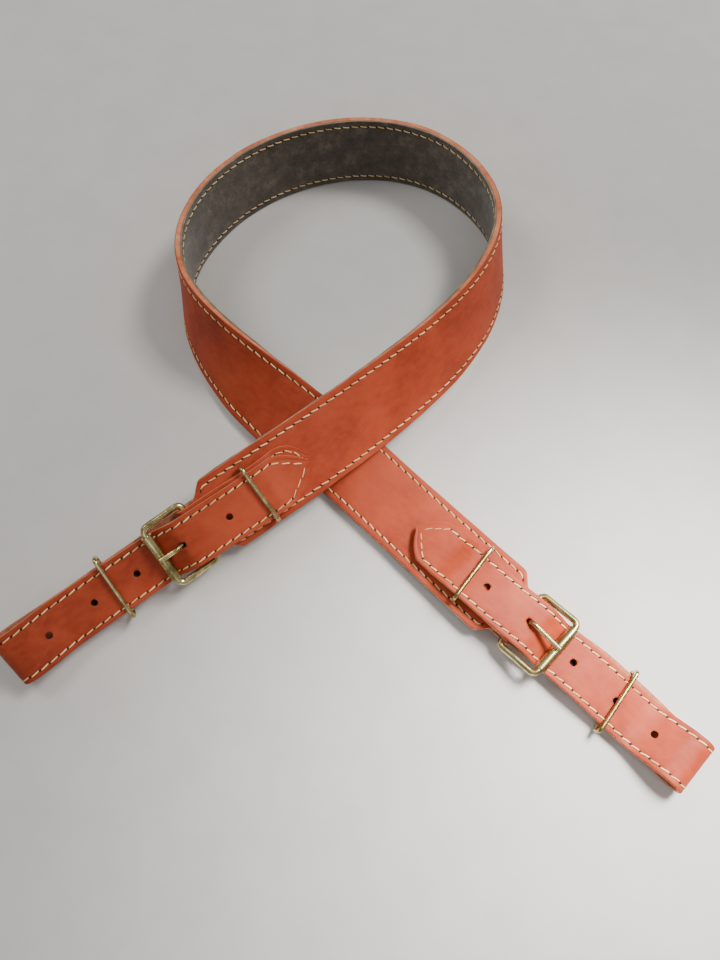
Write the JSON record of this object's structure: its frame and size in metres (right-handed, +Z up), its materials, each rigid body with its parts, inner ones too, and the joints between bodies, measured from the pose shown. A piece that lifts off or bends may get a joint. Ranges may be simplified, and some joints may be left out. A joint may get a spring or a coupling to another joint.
{
  "type": "leather shoulder strap with roller buckles",
  "caption": "Lined leather shoulder strap laid in a crossed loop, each end narrowing to a roller buckle and an adjustable end loop.",
  "frame": {"origin": "centre of the whole part's footprint, on the surface it lies on", "axes": "+Z up from the surface, +Y towards the back of the band's loop, +X to the right; the two buckled ends point towards -Y"},
  "size_m": [0.3198, 0.3454, 0.0404],
  "materials": {
    "leather": "smooth grain, cognac",
    "suede": "suede, dark grey-brown",
    "thread": "waxed thread, cream",
    "brass": "antique, brushed"
  },
  "bodies": {
    "strap": {"band_leather": "leather", "band_lining": "suede", "band_stitching": "thread", "right_billet_strap": "leather", "right_billet_stitching": "thread", "right_chape": "leather", "right_chape_stitching": "thread", "left_billet_strap": "leather", "left_billet_stitching": "thread", "left_chape": "leather", "left_chape_stitching": "thread"},
    "right_buckle_frame": {"right_buckle_frame": "brass"},
    "right_buckle_roller": {"right_buckle_roller": "brass"},
    "right_buckle_prong": {"right_buckle_prong": "brass"},
    "right_fixed_keeper": {"right_fixed_keeper": "brass"},
    "right_sliding_keeper": {"right_sliding_keeper": "brass"},
    "left_buckle_frame": {"left_buckle_frame": "brass"},
    "left_buckle_roller": {"left_buckle_roller": "brass"},
    "left_buckle_prong": {"left_buckle_prong": "brass"},
    "left_fixed_keeper": {"left_fixed_keeper": "brass"},
    "left_sliding_keeper": {"left_sliding_keeper": "brass"}
  },
  "joints": [
    {"name": "right_buckle_hinge", "type": "hinge", "parent": "strap", "child": "right_buckle_frame", "pos_m": [0.07962, -0.09799, 0.00781], "axis": [-0.7009, -0.7133, 0], "range_deg": [0, 3]},
    {"name": "right_roller_spin", "type": "hinge", "parent": "right_buckle_frame", "child": "right_buckle_roller", "pos_m": [0.09409, -0.11221, 0.01139], "axis": [0.7009, 0.7133, 0], "range_deg": [-180, 180]},
    {"name": "right_prong_hinge", "type": "hinge", "parent": "right_buckle_frame", "child": "right_buckle_prong", "pos_m": [0.07962, -0.09799, 0.00781], "axis": [-0.7009, -0.7133, 0], "range_deg": [0, 3]},
    {"name": "right_fixed_keeper_play", "type": "slide", "parent": "strap", "child": "right_fixed_keeper", "axis": [0.7123, -0.6999, 0.0523], "range_m": [-0.0015, 0.0015]},
    {"name": "right_sliding_keeper_slide", "type": "slide", "parent": "strap", "child": "right_sliding_keeper", "axis": [0.7099, -0.6976, -0.0964], "range_m": [-0.008, 0.01]},
    {"name": "left_buckle_hinge", "type": "hinge", "parent": "strap", "child": "left_buckle_frame", "pos_m": [-0.07034, -0.05878, 0.0185], "axis": [-0.5149, 0.6629, 0.5436], "range_deg": [0, 3]},
    {"name": "left_roller_spin", "type": "hinge", "parent": "left_buckle_frame", "child": "left_buckle_roller", "pos_m": [-0.08627, -0.07182, 0.01931], "axis": [0.5149, -0.6629, -0.5436], "range_deg": [-180, 180]},
    {"name": "left_prong_hinge", "type": "hinge", "parent": "left_buckle_frame", "child": "left_buckle_prong", "pos_m": [-0.07034, -0.05878, 0.0185], "axis": [-0.5149, 0.6629, 0.5436], "range_deg": [0, 3]},
    {"name": "left_fixed_keeper_play", "type": "slide", "parent": "strap", "child": "left_fixed_keeper", "axis": [-0.8125, -0.5796, -0.0628], "range_m": [-0.0015, 0.0015]},
    {"name": "left_sliding_keeper_slide", "type": "slide", "parent": "strap", "child": "left_sliding_keeper", "axis": [-0.8125, -0.5796, -0.0628], "range_m": [-0.004, 0.022]}
  ]
}
